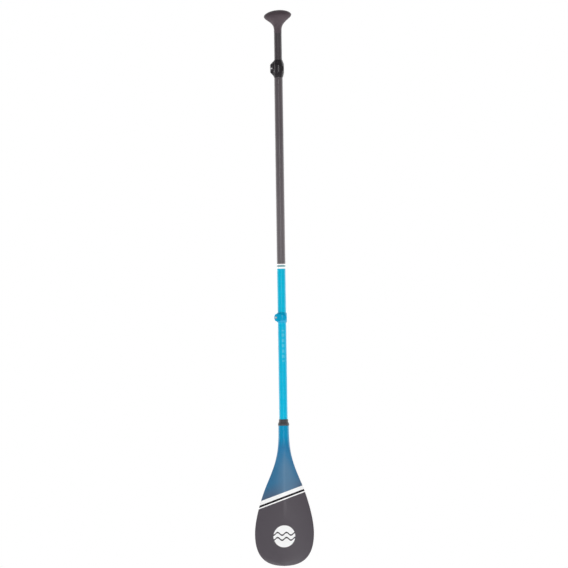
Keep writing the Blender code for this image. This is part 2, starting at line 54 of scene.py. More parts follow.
# ---- Palm grip ----
# A T-shaped grip, injection moulded in one piece from soft-touch polypropylene. Its spigot is glued
# into the handle tube, and the two halves of the mould leave a fine flash line over both lobes.

GRIP_SEAM = 1.8033
GRIP_NECK = 0.0130
GRIP_LOBE = 0.0464
GRIP_DEPTH = 0.0192
GRIP_LOBE_HEIGHT = 0.0581
GRIP_HEIGHT = 0.0767
GRIP_SWEEP_START = 0.0100
GRIP_SWEEP_BEND = (0.0383, 0.0436)  # heights of the sweep's two inner control points
GRIP_DOME_BEND = (0.0661, 0.0282)  # height of the dome's first inner point, half width of its second
GRIP_TILT = radians(3.8)
GRIP_TILT_RUN = 0.0350  # height over which the lean grows
SPIGOT = (0.0112, 0.0450)  # radius, length
SPIGOT_CHAMFER = 0.0010
FLASH_LINE = (0.00012, 0.0005)  # how far it stands up, half width
FLASH_ZONE = 0.0900  # angle on each side of the flash line where the grid is finer


def linear(colour):
    """Turns an sRGB hex colour such as "ff8800" into the linear RGBA that a shader takes."""
    parts = np.array([int(colour[i : i + 2], 16) for i in (0, 2, 4)]) / 255
    light = np.where(parts <= 0.04045, parts / 12.92, ((parts + 0.055) / 1.055) ** 2.4)
    return (*light.tolist(), 1.0)


def add_node(tree, kind, inputs=None, **settings):
    """Adds a node with its settings. Each input is a number, a colour or another node's output."""
    made = tree.nodes.new(kind)
    for name, value in settings.items():
        setattr(made, name, value)
    for socket, value in (inputs or {}).items():
        if isinstance(value, bpy.types.NodeSocket):
            tree.links.new(value, made.inputs[socket])
        else:
            made.inputs[socket].default_value = value
    return made


def moulded_plastic(name, colour, shade, roughness, grain, depth):
    """Plastic from a spark-eroded mould: an even fine grain, and faint clouds of a second shade."""
    made = bpy.data.materials.new(name)
    made.use_nodes = True
    tree = made.node_tree
    tree.nodes.clear()
    place = add_node(tree, "ShaderNodeTexCoord").outputs["Object"]
    grit = add_node(
        tree, "ShaderNodeTexNoise", {"Vector": place, "Scale": 1 / grain, "Detail": 3.0}
    )
    cloud = add_node(
        tree, "ShaderNodeTexNoise", {"Vector": place, "Scale": 1 / 0.030, "Detail": 2.0}
    )
    paint = add_node(
        tree,
        "ShaderNodeMix",
        {"Factor": cloud.outputs[0], 6: linear(colour), 7: linear(shade)},
        data_type="RGBA",
    )
    gloss = add_node(
        tree,
        "ShaderNodeMapRange",
        {"Value": grit.outputs[0], "To Min": roughness - 0.08, "To Max": roughness + 0.08},
    )
    bump = add_node(tree, "ShaderNodeBump", {"Height": grit.outputs[0], "Distance": depth})
    shader = add_node(
        tree,
        "ShaderNodeBsdfPrincipled",
        {
            "Base Color": paint.outputs[2],
            "Roughness": gloss.outputs[0],
            "IOR": 1.49,
            "Normal": bump.outputs[0],
        },
    )
    add_node(tree, "ShaderNodeOutputMaterial", {"Surface": shader.outputs[0]})
    return made


def skin(name, grid, sharp=35):
    """A mesh over a grid of points, rows by columns: each square of four neighbours is a face.
    Points that coincide, as along a seam or at a pole, are merged, so the mesh closes there."""
    rows, columns = grid.shape[:2]
    index = np.arange(rows * columns).reshape(rows, columns)
    quads = np.stack((index[:-1, :-1], index[:-1, 1:], index[1:, 1:], index[1:, :-1]), axis=-1)
    mesh = bpy.data.meshes.new(name)
    mesh.from_pydata(grid.reshape(-1, 3).tolist(), [], quads.reshape(-1, 4).tolist())
    shape = bmesh.new()
    shape.from_mesh(mesh)
    bmesh.ops.remove_doubles(shape, verts=shape.verts, dist=1e-7)
    bmesh.ops.dissolve_degenerate(shape, edges=shape.edges, dist=1e-8)
    bmesh.ops.recalc_face_normals(shape, faces=shape.faces)
    shape.to_mesh(mesh)
    shape.free()
    mesh.shade_smooth()
    mesh.set_sharp_from_angle(angle=radians(sharp))
    made = bpy.data.objects.new(name, mesh)
    bpy.context.scene.collection.objects.link(made)
    return made


def bezier(points, count):
    """A cubic curve through its first and last control points, at evenly spaced parameters."""
    a, b, c, d = np.array(points, float)
    t = np.linspace(0, 1, count)[:, None]
    s = 1 - t
    return a * s**3 + 3 * b * s**2 * t + 3 * c * s * t**2 + d * t**3


def ease(value):
    """0 below 0, 1 above 1, and a smooth step between."""
    value = np.clip(value, 0, 1)
    return value * value * (3 - 2 * value)


def grip_grid():
    """Oval rings stacked up the grip: x = wide cos a and y = deep sin a, each ring sheared to the lean.
    The half widths follow two cubics, one up the sweep and one over the dome, to a pole at the top."""
    widest = (GRIP_LOBE, GRIP_LOBE_HEIGHT)
    low, high = GRIP_SWEEP_BEND
    sweep = ((GRIP_NECK, GRIP_SWEEP_START), (GRIP_NECK, low), (GRIP_LOBE, high), widest)
    rise, half = GRIP_DOME_BEND
    dome = (widest, (GRIP_LOBE, rise), (half, GRIP_HEIGHT), (0.0, GRIP_HEIGHT))
    radius, length = SPIGOT
    foot = [(0, -length), (radius - SPIGOT_CHAMFER, -length), (radius, SPIGOT_CHAMFER - length)]
    spigot = np.array([*foot, (radius, 0), (GRIP_NECK, 0)])
    wide, height = np.vstack((spigot, bezier(sweep, 60), bezier(dome, 48)[1:])).T[:, :, None]
    slim = (GRIP_DEPTH - GRIP_NECK) / (GRIP_LOBE - GRIP_NECK)
    swept = np.where(height > 0, GRIP_NECK + (wide - GRIP_NECK) * slim, wide)
    deep = np.where(height > GRIP_LOBE_HEIGHT, wide * GRIP_DEPTH / GRIP_LOBE, swept)
    fine = np.linspace(-FLASH_ZONE, FLASH_ZONE, 13)
    coarse = np.linspace(0.15, pi - 0.15, 36)
    angles = np.concatenate((fine, coarse, pi + fine, pi + coarse, [2 * pi - FLASH_ZONE]))
    x, y = wide * np.cos(angles), deep * np.sin(angles)
    proud, half = FLASH_LINE
    shoulder = ease((height - GRIP_SWEEP_START) / 0.01) * (wide > 0.004)
    ridge = 1 + proud * np.exp(-((y / half) ** 2)) * shoulder / np.maximum(wide, 0.001)
    lean = GRIP_TILT * ease((height - GRIP_SWEEP_START) / GRIP_TILT_RUN)
    return np.stack((x * ridge, y, tip + GRIP_SEAM + height + lean * x), axis=-1)


# Soft-touch polypropylene: a dull, slightly warm dark grey that spreads its highlights wide
grip_plastic = moulded_plastic("soft-touch polypropylene", "594e54", "51474c", 0.56, 0.0007, 0.00004)
palm_grip = skin("palm_grip", grip_grid(), sharp=60)
palm_grip.data.materials.append(grip_plastic)
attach(palm_grip, "handle_section")
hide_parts("handle_grip")


# ---- Handle tube and joint ferrule ----
# Two thin tubes of the same stock, rolled from glass cloth in dark resin and sanded to slide. A
# groove along the back takes the key on a clamp's lip. The ferrule is glued into the middle shaft.

THIN_TUBE = (0.0130, 0.0115)  # outer and inner radii
GROOVE = (0.0042, 0.0009)  # width, depth
TOW = 0.0030  # width of one bundle of glass, two to three times the real one so that it shows
TOWS_ROUND = 30
WRAP = 0.0120  # pitch of the shrink tape's spiral mark
PAINT_EDGE = 0.0002  # half the blur where two paints meet
BAR = (0.0050, 0.0090)  # printed bars: half length, half pitch
BAR_PLACE = (-1.32, 0.30)  # their angle round the tube, a little right of its front, and half width
BAR_INK = 0.35  # how much the pale ink covers


def rolled_tube(name, bands, roughness, coat, dashes=None):
    """Glass cloth rolled into a tube under lacquer. Bands are (height where it starts, colour, length
    of the fade into it if it has one), from the bottom up. Crossed bundles at 45 degrees and the
    tape's spiral show faintly in the gloss. Dashes are the two heights between which a row of pale
    bars is printed down the front."""
    made = bpy.data.materials.new(name)
    made.use_nodes = True
    tree = made.node_tree
    tree.nodes.clear()
    place = add_node(tree, "ShaderNodeTexCoord").outputs["Object"]
    axes = add_node(tree, "ShaderNodeSeparateXYZ", {0: place}).outputs
    paint = linear(bands[0][1])
    for height, colour, *fade in bands[1:]:
        half = fade[0] / 2 if fade else PAINT_EDGE
        above = add_node(
            tree,
            "ShaderNodeMapRange",
            {"Value": axes[2], "From Min": tip + height - half, "From Max": tip + height + half},
        )
        mixed = add_node(
            tree,
            "ShaderNodeMix",
            {"Factor": above.outputs[0], 6: paint, 7: linear(colour)},
            data_type="RGBA",
        )
        paint = mixed.outputs[2]
    turn = add_node(tree, "ShaderNodeMath", {0: axes[1], 1: axes[0]}, operation="ARCTAN2").outputs[0]
    if dashes:
        low, high = dashes
        half_bar, half_pitch = BAR
        side, half_width = BAR_PLACE
        middle = (high - low) / 2
        rise = add_node(
            tree, "ShaderNodeMath", {0: axes[2], 1: tip + low}, operation="SUBTRACT"
        ).outputs[0]
        step = add_node(
            tree, "ShaderNodeMath", {0: rise, 1: half_pitch}, operation="PINGPONG"
        ).outputs[0]
        bar = add_node(
            tree,
            "ShaderNodeMapRange",
            {"Value": step, "From Min": half_bar + PAINT_EDGE, "From Max": half_bar - PAINT_EDGE},
        ).outputs[0]
        aside = add_node(tree, "ShaderNodeMath", {0: turn, 1: side}, operation="SUBTRACT").outputs[0]
        aside = add_node(tree, "ShaderNodeMath", {0: aside}, operation="ABSOLUTE").outputs[0]
        row = add_node(
            tree,
            "ShaderNodeMapRange",
            {"Value": aside, "From Min": half_width + 0.01, "From Max": half_width - 0.01},
        ).outputs[0]
        span = add_node(
            tree, "ShaderNodeMath", {0: rise, 1: middle, 2: middle}, operation="COMPARE"
        ).outputs[0]
        for share in (row, span, BAR_INK):
            bar = add_node(tree, "ShaderNodeMath", {0: bar, 1: share}, operation="MULTIPLY").outputs[0]
        paint = add_node(
            tree,
            "ShaderNodeMix",
            {"Factor": bar, 6: paint, 7: linear("7fcfe0")},
            data_type="RGBA",
        ).outputs[2]
    # The two sets of bundles multiply into a weave, and the spiral is added to it
    pattern = 1.0
    for starts, pitch, joined in (
        (TOWS_ROUND, TOW, "MULTIPLY"),
        (-TOWS_ROUND, TOW, "MULTIPLY"),
        (1, WRAP, "ADD"),
    ):
        around = add_node(tree, "ShaderNodeMath", {0: turn, 1: starts}, operation="MULTIPLY").outputs[0]
        phase = add_node(
            tree,
            "ShaderNodeMath",
            {0: axes[2], 1: 2 * pi / pitch, 2: around},
            operation="MULTIPLY_ADD",
        ).outputs[0]
        wave = add_node(tree, "ShaderNodeMath", {0: phase}, operation="SINE").outputs[0]
        pattern = add_node(tree, "ShaderNodeMath", {0: pattern, 1: wave}, operation=joined).outputs[0]
    cloud = add_node(
        tree, "ShaderNodeTexNoise", {"Vector": place, "Scale": 1 / 0.022, "Detail": 4.0}
    ).outputs[0]
    tone = add_node(
        tree, "ShaderNodeMath", {0: pattern, 1: 0.02, 2: 0.98}, operation="MULTIPLY_ADD"
    ).outputs[0]
    shade = add_node(
        tree, "ShaderNodeMath", {0: cloud, 1: 0.10, 2: tone}, operation="MULTIPLY_ADD"
    ).outputs[0]
    tinted = add_node(
        tree,
        "ShaderNodeMix",
        {"Factor": 1.0, 6: paint, 7: shade},
        data_type="RGBA",
        blend_type="MULTIPLY",
    )
    gloss = add_node(
        tree,
        "ShaderNodeMapRange",
        {"Value": cloud, "To Min": roughness - 0.05, "To Max": roughness + 0.05},
    )
    bump = add_node(tree, "ShaderNodeBump", {"Height": pattern, "Distance": 0.000008})
    shader = add_node(
        tree,
        "ShaderNodeBsdfPrincipled",
        {
            "Base Color": tinted.outputs[2],
            "Roughness": gloss.outputs[0],
            "IOR": 1.4,
            "Coat Weight": coat,
            "Coat Roughness": 0.18,
            "Normal": bump.outputs[0],
        },
    )
    add_node(tree, "ShaderNodeOutputMaterial", {"Surface": shader.outputs[0]})
    return made


def grooved_tube_grid(low, high):
    """A tube's wall as a closed loop of rows, outside up and inside down, over angles round the axis.
    Within the groove's width the outer radius is that of a flat floor: (radius - depth) / sin a."""
    outer, inner = THIN_TUBE
    width, depth = GROOVE
    edge = 0.0002
    half = np.arcsin(width / 2 / outer)
    step = half + np.array([-0.002, 0.002])
    floor_angles = np.linspace(-step[0], step[0], 7)[1:-1]
    angles = pi / 2 + np.concatenate((-step[::-1], floor_angles, step))
    angles = np.append(angles, np.linspace(pi / 2 + step[1], 5 * pi / 2 - step[1], 80)[1:])
    inside = np.abs(angles - pi / 2) < half
    floor = (outer - depth) / np.sin(np.where(inside, angles, pi / 2))
    outside = np.where(inside, floor, outer)
    bore = np.full_like(angles, inner)
    wall = [outside - edge, outside, outside, outside - edge]
    radii = np.array([*wall, bore + edge, bore, bore, bore + edge])
    heights = np.array([low, low + edge, high - edge, high, high, high - edge, low + edge, low])
    radii, heights = np.vstack((radii, radii[:1])), np.append(heights, low)[:, None]
    return np.stack((radii * np.cos(angles), radii * np.sin(angles), heights + 0 * radii), axis=-1)


# Glass cloth in dark resin, sanded: charcoal with a satin shine and a faint crossed weave
charcoal_tube = rolled_tube("sanded charcoal glass fibre", [(0.0, "474245")], 0.40, 0.2)
for node, body, name in (
    ("handle_tube", "handle_section", "sliding_handle_tube"),
    ("joint_ferrule", "middle_section", "ferrule_tube"),
):
    low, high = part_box(node)
    piece = skin(name, grooved_tube_grid(low.z, high.z))
    piece.data.materials.append(charcoal_tube)
    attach(piece, body)
    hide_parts(node)


# ---- Plugs, seal and float bungs ----
# Small pieces that stay inside: nylon plugs in the handle tube's and the ferrule's lower ends, a
# rubber ring that drags lightly in the shaft, and foam, cut as bungs for the tubes and as a core.


def cellular(name, colour, shade, cell, roughness):
    """Foam or rubber whose cut face shows cells: dark borders between rounded cells, slightly sunk."""
    made = bpy.data.materials.new(name)
    made.use_nodes = True
    tree = made.node_tree
    tree.nodes.clear()
    place = add_node(tree, "ShaderNodeTexCoord").outputs["Object"]
    cells = add_node(tree, "ShaderNodeTexVoronoi", {"Vector": place, "Scale": 1 / cell})
    paint = add_node(
        tree,
        "ShaderNodeMix",
        {"Factor": cells.outputs["Distance"], 6: linear(colour), 7: linear(shade)},
        data_type="RGBA",
    )
    bump = add_node(
        tree, "ShaderNodeBump", {"Height": cells.outputs["Distance"], "Distance": cell / 8}
    )
    shader = add_node(
        tree,
        "ShaderNodeBsdfPrincipled",
        {"Base Color": paint.outputs[2], "Roughness": roughness, "Normal": bump.outputs[0]},
    )
    add_node(tree, "ShaderNodeOutputMaterial", {"Surface": shader.outputs[0]})
    return made


# Moulded nylon: near black, with a tighter shine than the grip
black_nylon = moulded_plastic("glass-filled black nylon", "322f32", "2a2729", 0.19, 0.0005, 0.000006)
# Nitrile rubber: dull black with a faint grain, so it reads as soft
seal_rubber = cellular("nitrile rubber", "1d1c1c", "121111", 0.0004, 0.75)
# Closed-cell polyethylene foam: off-white, with cells about a millimetre across
bung_foam = cellular("closed-cell foam", "ddd8cc", "bdb6a6", 0.0010, 0.95)
for node, material in (
    ("handle_end_plug", black_nylon),
    ("ferrule_cap", black_nylon),
    ("handle_seal", seal_rubber),
    ("middle_float_plug", bung_foam),
    ("blade_float_plug", bung_foam),
    ("blade_core", bung_foam),
):
    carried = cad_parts[node].data
    carried.materials.clear()
    carried.materials.append(material)


# ---- Clamp collars and cam levers ----
# Each clamp is a split nylon collar squeezed by a hinged cam lever that wraps round the front. Both
# are injection moulded with rounded edges, black at the handle and dyed blue at the blade's joint.


def one_skin(node, name, round_over=0.0):
    """A CAD solid's triangles as one skin: equal corners become one vertex and flat areas one face.
    Its sharp edges are then rounded over by a narrow bevel."""
    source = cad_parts[node].data
    source.calc_loop_triangles()
    points = np.empty(len(source.vertices) * 3, np.float32)
    source.vertices.foreach_get("co", points)
    corners = np.empty(len(source.loop_triangles) * 3, np.int32)
    source.loop_triangles.foreach_get("vertices", corners)
    places, index = np.unique(np.round(points.reshape(-1, 3), 6), axis=0, return_inverse=True)
    faces = index.reshape(-1)[corners].reshape(-1, 3)
    whole = (faces != np.roll(faces, 1, axis=1)).all(axis=1)
    mesh = bpy.data.meshes.new(name)
    mesh.from_pydata(places.tolist(), [], faces[whole].tolist())
    shape = bmesh.new()
    shape.from_mesh(mesh)
    bmesh.ops.dissolve_limit(shape, angle_limit=radians(0.4), verts=shape.verts, edges=shape.edges)
    bmesh.ops.recalc_face_normals(shape, faces=shape.faces)
    shape.to_mesh(mesh)
    shape.free()
    mesh.shade_smooth()
    mesh.set_sharp_from_angle(angle=radians(32))
    made = bpy.data.objects.new(name, mesh)
    bpy.context.scene.collection.objects.link(made)
    if round_over:
        soften = made.modifiers.new("rounded edges", "BEVEL")
        soften.width = round_over
        soften.segments = 2
        soften.limit_method = "ANGLE"
        soften.angle_limit = radians(38)
        soften.harden_normals = True
    return made


# Blue nylon: the same moulding with the shaft's dye in it, glossier, with small bright glints
blue_nylon = moulded_plastic("dyed blue nylon", "02a6cf", "0298c2", 0.20, 0.0005, 0.000006)
for end, body, lever_body, nylon, slot in (
    ("upper", "middle_section", "upper_lever", black_nylon, "black_nylon"),
    ("lower", "blade_section", "lower_lever", blue_nylon, "blue_nylon"),
):
    collar = one_skin(f"{end}_clamp_collar", f"{end}_split_collar", 0.0005)
    collar.data.materials.append(nylon)
    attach(collar, body)
    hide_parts(f"{end}_clamp_collar")
    lever = one_skin(f"{end}_clamp_lever", f"{end}_cam_lever", 0.0006)
    lever.data.materials.append(nylon)
    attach(lever, lever_body)
    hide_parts(f"{end}_clamp_lever")


# ---- Clamp steel ----
# Stainless fittings of both clamps: a socket-head bolt draws the barrel nut in the lever's knuckle
# towards the ears, a wear plate takes the cam, and a washer lies under the head.

BOLT = 0.0025
THREAD = (0.0008, 0.00045)  # pitch, depth
BOLT_HEAD = (0.0043, 0.0050)
HEX = (0.0020, 0.0025)  # from the socket's middle to a flat, depth


def bolt_grid(start, under_head, across, height):
    """Rings along Y: radius = body - depth * |saw|, where the saw runs with distance / pitch - a / 2 pi.
    Inside the head the radius is that of a hexagon, flat / cos of the angle from the nearest flat."""
    pitch, depth = THREAD
    head, tall = BOLT_HEAD
    flats, socket = HEX
    edge = 0.0003
    top = under_head + tall
    stem = np.linspace(start + 0.0004, under_head - 0.0005, int((under_head - start) / pitch * 8))
    along = np.concatenate(([start, start], stem, [under_head, under_head, top - edge]))
    along = np.concatenate((along, [top, top, top - socket, top - socket]))
    radius = np.concatenate(([0, BOLT - 0.0006], np.full(len(stem), BOLT), [BOLT, head, head]))
    radius = np.concatenate((radius, [head - edge, flats, flats, 0]))[:, None]
    threaded = np.concatenate(([0, 0], np.ones(len(stem)), np.zeros(7)))[:, None]
    hexed = np.concatenate((np.zeros(len(stem) + 6), [1, 1, 0]))[:, None]
    angles = np.linspace(0, 2 * pi, 49)
    saw = np.abs((along[:, None] / pitch - angles / (2 * pi)) % 1 * 2 - 1)
    flat = 1 / np.cos((angles + pi / 6) % (pi / 3) - pi / 6)
    radius = (radius - threaded * depth * saw) * np.where(hexed > 0, flat, 1)
    x, z = across + radius * np.cos(angles), height + radius * np.sin(angles)
    return np.stack((x, along[:, None] + 0 * radius, z), axis=-1)


# Stainless steel, tumbled and passivated: pale grey with a bloom over it, so half of it acts as metal
# and half as a dull skin, and fine scratches stretch the highlights
bright_steel = bpy.data.materials.new("tumbled stainless steel")
bright_steel.use_nodes = True
tree = bright_steel.node_tree
tree.nodes.clear()
place = add_node(tree, "ShaderNodeTexCoord").outputs["Object"]
stretched = add_node(tree, "ShaderNodeMapping", {"Vector": place, "Scale": (1.0, 1.0, 0.08)})
scratches = add_node(
    tree,
    "ShaderNodeTexNoise",
    {"Vector": stretched.outputs[0], "Scale": 1 / 0.0003, "Detail": 2.0},
)
steel_tone = add_node(
    tree,
    "ShaderNodeMix",
    {"Factor": scratches.outputs[0], 6: linear("dededf"), 7: linear("c6c6c9")},
    data_type="RGBA",
)
steel_gloss = add_node(
    tree, "ShaderNodeMapRange", {"Value": scratches.outputs[0], "To Min": 0.30, "To Max": 0.46}
)
shader = add_node(
    tree,
    "ShaderNodeBsdfPrincipled",
    {"Base Color": steel_tone.outputs[2], "Roughness": steel_gloss.outputs[0], "Metallic": 0.5},
)
add_node(tree, "ShaderNodeOutputMaterial", {"Surface": shader.outputs[0]})
for end, body in (("upper", "middle_section"), ("lower", "blade_section")):
    low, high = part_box(f"{end}_clamp_bolt")
    middle = (low + high) / 2
    bolt = skin(f"{end}_bolt", bolt_grid(low.y, high.y - BOLT_HEAD[1], middle.x, middle.z))
    barrel = one_skin(f"{end}_clamp_barrel", f"{end}_barrel_nut", 0.0002)
    plate = one_skin(f"{end}_clamp_wear_plate", f"{end}_wear_plate", 0.0002)
    washer = one_skin(f"{end}_clamp_washer", f"{end}_washer", 0.0002)
    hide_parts(f"{end}_clamp_bolt")
    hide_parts(f"{end}_clamp_barrel")
    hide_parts(f"{end}_clamp_wear_plate")
    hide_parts(f"{end}_clamp_washer")
    for piece in (bolt, barrel, plate, washer):
        piece.data.materials.append(bright_steel)
        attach(piece, body)


# ---- Middle shaft and blade shaft ----
# Thick tubes rolled from glass cloth, painted and lacquered. The middle one is charcoal above two
# white bands and blue below them. Both are slit at the top, where a clamp's collar squeezes them.

BAR_ROW = (0.6900, 0.7980)  # where the printed row of bars starts and ends

# Lacquered glass fibre: a wet shine with bright edges over bands of paint, and the charcoal is painted
# lighter towards the bands as painted light, for the stronger light on the tube's lower part
middle_paint = rolled_tube(
    "lacquered two-tone glass fibre",
    [
        (0.0, "00b0d1"),
        (1.0050, "f8f8f8"),
        (1.0115, "5d949c"),
        (1.0165, "f8f8f8"),
        (1.0210, "686265"),
        # Painted light: the charcoal is lighter just above the bands and fades up to its own shade
        (1.3200, "5a5457", 0.3000),
    ],
    0.30,
    0.25,
)
blue_paint = rolled_tube("lacquered blue glass fibre", [(0.0, "00aed2")], 0.30, 0.25, BAR_ROW)
for node, name, body, paint, slot in (
    ("middle_shaft", "two_tone_middle_tube", "middle_section", middle_paint, "middle_tube"),
    ("blade_shaft", "blue_blade_tube", "blade_section", blue_paint, "blue_tube"),
):
    piece = one_skin(node, name)
    piece.data.materials.append(paint)
    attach(piece, body)
    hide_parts(node)


# ---- Neck ring ----
# A dark nylon ring with a sleeve, pushed over the shaft to cover the glue line where it enters the
# blade. Its edges are turned to a small radius.

RING_PROFILE = (  # (radius, height above the ring's foot)
    (0.0148, 0.0214),
    (0.0148, 0.0000),
    (0.0177, 0.0000),
    (0.0185, 0.0004),
    (0.0189, 0.0014),
    (0.0190, 0.0040),
    (0.0187, 0.0066),
    (0.0178, 0.0090),
    (0.0168, 0.0108),
    (0.0160, 0.0120),
    (0.0158, 0.0132),
    (0.0158, 0.0206),
    (0.0156, 0.0211),
    (0.0152, 0.0214),
    (0.0148, 0.0214),
)


def turned_grid(profile, foot):
    """A profile of (radius, height) turned about the shaft's axis: x = r cos a, y = r sin a."""
    radius, height = np.array(profile).T[:, :, None]
    angles = np.linspace(0, 2 * pi, 97)
    x, y = radius * np.cos(angles), radius * np.sin(angles)
    return np.stack((x, y, foot + height + 0 * x), axis=-1)


# The clamps' black nylon with its colour painted lighter, as painted light for the brighter light that
# falls on the ring; from a coarser mould and duller
lit_black_nylon = moulded_plastic("black nylon painted lighter", "4c4a4e", "454347", 0.48, 0.0006, 0.00003)
shaft_ring = skin("shaft_ring", turned_grid(RING_PROFILE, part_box("neck_ring")[0].z))
shaft_ring.data.materials.append(lit_black_nylon)
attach(shaft_ring, "blade_section")
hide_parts("neck_ring")


# ---- Blade ----
# Two moulded half shells of glass-filled nylon round a foam core, joined along the edge. The lacquer
# fades from the shaft's blue to slate, then slanting white stripes lead to charcoal below.

BLADE_EDGE = (  # (half width, height) control points of the outline's three cubics
    ((0.0182, 0.4550), (0.0182, 0.3602), (0.0402, 0.3232), (0.0617, 0.2700)),
    ((0.0617, 0.2700), (0.0821, 0.2193), (0.1000, 0.1537), (0.1000, 0.1103)),
    ((0.1000, 0.1103), (0.1000, 0.0339), (0.0665, 0.0000), (0.0000, 0.0000)),
)
NECK = (0.0180, 0.4735)  # radius, top
NECK_END = 0.4400
PLATE_START = 0.3200
TIP_ROUND = 0.0400  # height over which the plate thins to the tip
RAKE = (radians(10), 0.4000, 0.1500)  # angle, start, length of the bend
CUP = 0.0045
EDGE_THICKNESS = 0.0005
PLATE_THICKNESS = 0.0019
LENS_THICKNESS = 0.0024
SPINE = (0.0085, 0.0165, 0.1500)  # height, width, lower end
SHELL_GAP = 0.0003
WALL = 0.0014
SOLID_EDGE = (0.0080, 0.0040)  # how far in from the seam the hollow starts, and how fast it opens
SOCKET = (0.0148, 0.3985)  # radius, foot


def blade_skin(name, side):
    """One half shell. x = share of the half width at that height, z follows the outline, and
    y = middle surface +- half thickness, which is a neck's circle easing into a lens with a spine.
    The inside follows at a wall's distance, or the shaft's circle in the neck's socket. The
    attribute rim_distance holds how far each point lies from the seam."""
    edge = np.concatenate([bezier(stretch, 64)[:-1] for stretch in BLADE_EDGE])
    edge = np.vstack(([NECK[0], NECK[1]], [NECK[0] + 0.0001, 0.4640], edge, [0.0002, 0.0]))
    even = np.linspace(-1, 1, 65)
    share = np.sign(even) * np.sin(pi / 2 * np.abs(even) ** 1.25)
    x, z = edge[:, :1] * share, edge[:, 1:] + 0 * share
    flat = ease((NECK_END - z) / (NECK_END - PLATE_START))
    height, width, end = SPINE
    fade = 1 - ease((PLATE_START - z) / (PLATE_START - end))
    u = np.abs(share) + 0 * x
    plate = NECK[0] * (1 - flat) + PLATE_THICKNESS * flat
    lens = LENS_THICKNESS * flat * (1 - u**2)
    spine = height * flat * fade * np.exp(-((x / width) ** 2))
    rounding = np.sqrt(1 - u ** (2 + 8 * flat))
    tip_round = np.sqrt(1 - (1 - np.clip(z / TIP_ROUND, 0, 1)) ** 4)
    half = EDGE_THICKNESS + (plate - EDGE_THICKNESS + lens + spine) * rounding * tip_round
    angle, start, bend = RAKE
    run = np.clip(start - z, 0, None)
    t = np.clip(run / bend, 0, 1)
    travel = bend * (t**3 - t**4 / 2) + np.clip(run - bend, 0, None)
    middle = CUP * flat * u**2 - tan(angle) * travel
    rim = np.hypot(np.abs(x)[..., None] - edge[:, 0], z[..., None] - edge[:, 1]).min(axis=-1)
    solid, opening = SOLID_EDGE
    hollow = np.clip(half - WALL, SHELL_GAP / 2, None) * ease((rim - solid) / opening)
    bore = np.sqrt(np.clip(SOCKET[0] ** 2 - x**2, 0, None))
    inner = np.maximum(np.where(z > SOCKET[1], bore, hollow), SHELL_GAP / 2)
    outer = np.stack((x, middle + side * half, tip + z), axis=-1)
    inside = np.stack((x, middle + side * np.minimum(inner, half - 0.0001), tip + z), axis=-1)
    # The inside sheet is laid back over the outside one, and the first column is repeated to close it.
    # At both ends a row that runs along the outside and back again closes the two sheets together
    sheet = np.concatenate((outer, inside[:, ::-1], outer[:, :1]), axis=1)
    folded = np.concatenate((outer, outer[:, ::-1], outer[:, :1]), axis=1)
    made = skin(name, np.concatenate((folded[:1], sheet, folded[-1:])), sharp=50)
    points = np.empty(len(made.data.vertices) * 3, np.float32)
    made.data.vertices.foreach_get("co", points)
    points = points.reshape(-1, 3)
    seam = np.stack((x, middle, tip + z), axis=-1)[:, [0, -1]].reshape(-1, 3)
    gaps = np.linalg.norm(points[:, None] - seam, axis=-1).min(axis=1)
    rim_distance = made.data.attributes.new("rim_distance", "FLOAT", "POINT")
    rim_distance.data.foreach_set("value", gaps)
    return made


STRIPES = (  # (height on the blade's axis where it starts, colour), from the tip up
    (0.2233, "f8f8f8"),
    (0.2276, "242024"),
    (0.2348, "f8f8f8"),
    (0.2484, "526178"),
)
SLANT = 0.3635  # rise across the blade
BLUES = (  # (follows the stripes' slant, height where the fade starts, where it ends, colour)
    (True, 0.2444, 0.2924, "3a7298"),
    (False, 0.3400, 0.3900, "1a6e9b"),
    (False, 0.4000, 0.4400, "008ab6"),
)
SPINE_HIGHLIGHT_WIDTH = (0.0120, 0.0580)  # half width of the painted highlight over the spine, at its top and foot
SPINE_HIGHLIGHT_SPREAD = (0.3700, 0.2900)  # heights between which it widens
SPINE_HIGHLIGHT_FADE = (0.4000, 0.3200)  # heights between which it sets in
SPINE_HIGHLIGHT_SHIFT = 0.2  # how far it lies to one side, as a share of its half width
SPINE_HIGHLIGHT_SHARE = 0.8
EMBLEM = (0.1000, 0.0370)  # height, radius of a plain white disc with two waves across it
WAVE = (0.0300, 0.0045, 0.0085, 0.0025)  # length, swing, distance from the middle, half line width
SEAM_DARKENING = (0.0007, 0.0003)  # distances from the seam between which the paint turns darker

# Lacquer over glass-filled nylon: satin, with an orange-peel ripple, a painted highlight over the spine
# and edges darker along the seam
lacquer = bpy.data.materials.new("satin lacquered nylon")
lacquer.use_nodes = True
tree = lacquer.node_tree
tree.nodes.clear()
place = add_node(tree, "ShaderNodeTexCoord").outputs["Object"]
axes = add_node(tree, "ShaderNodeSeparateXYZ", {0: place}).outputs
slanted = add_node(
    tree, "ShaderNodeMath", {0: axes[0], 1: -SLANT, 2: axes[2]}, operation="MULTIPLY_ADD"
).outputs[0]
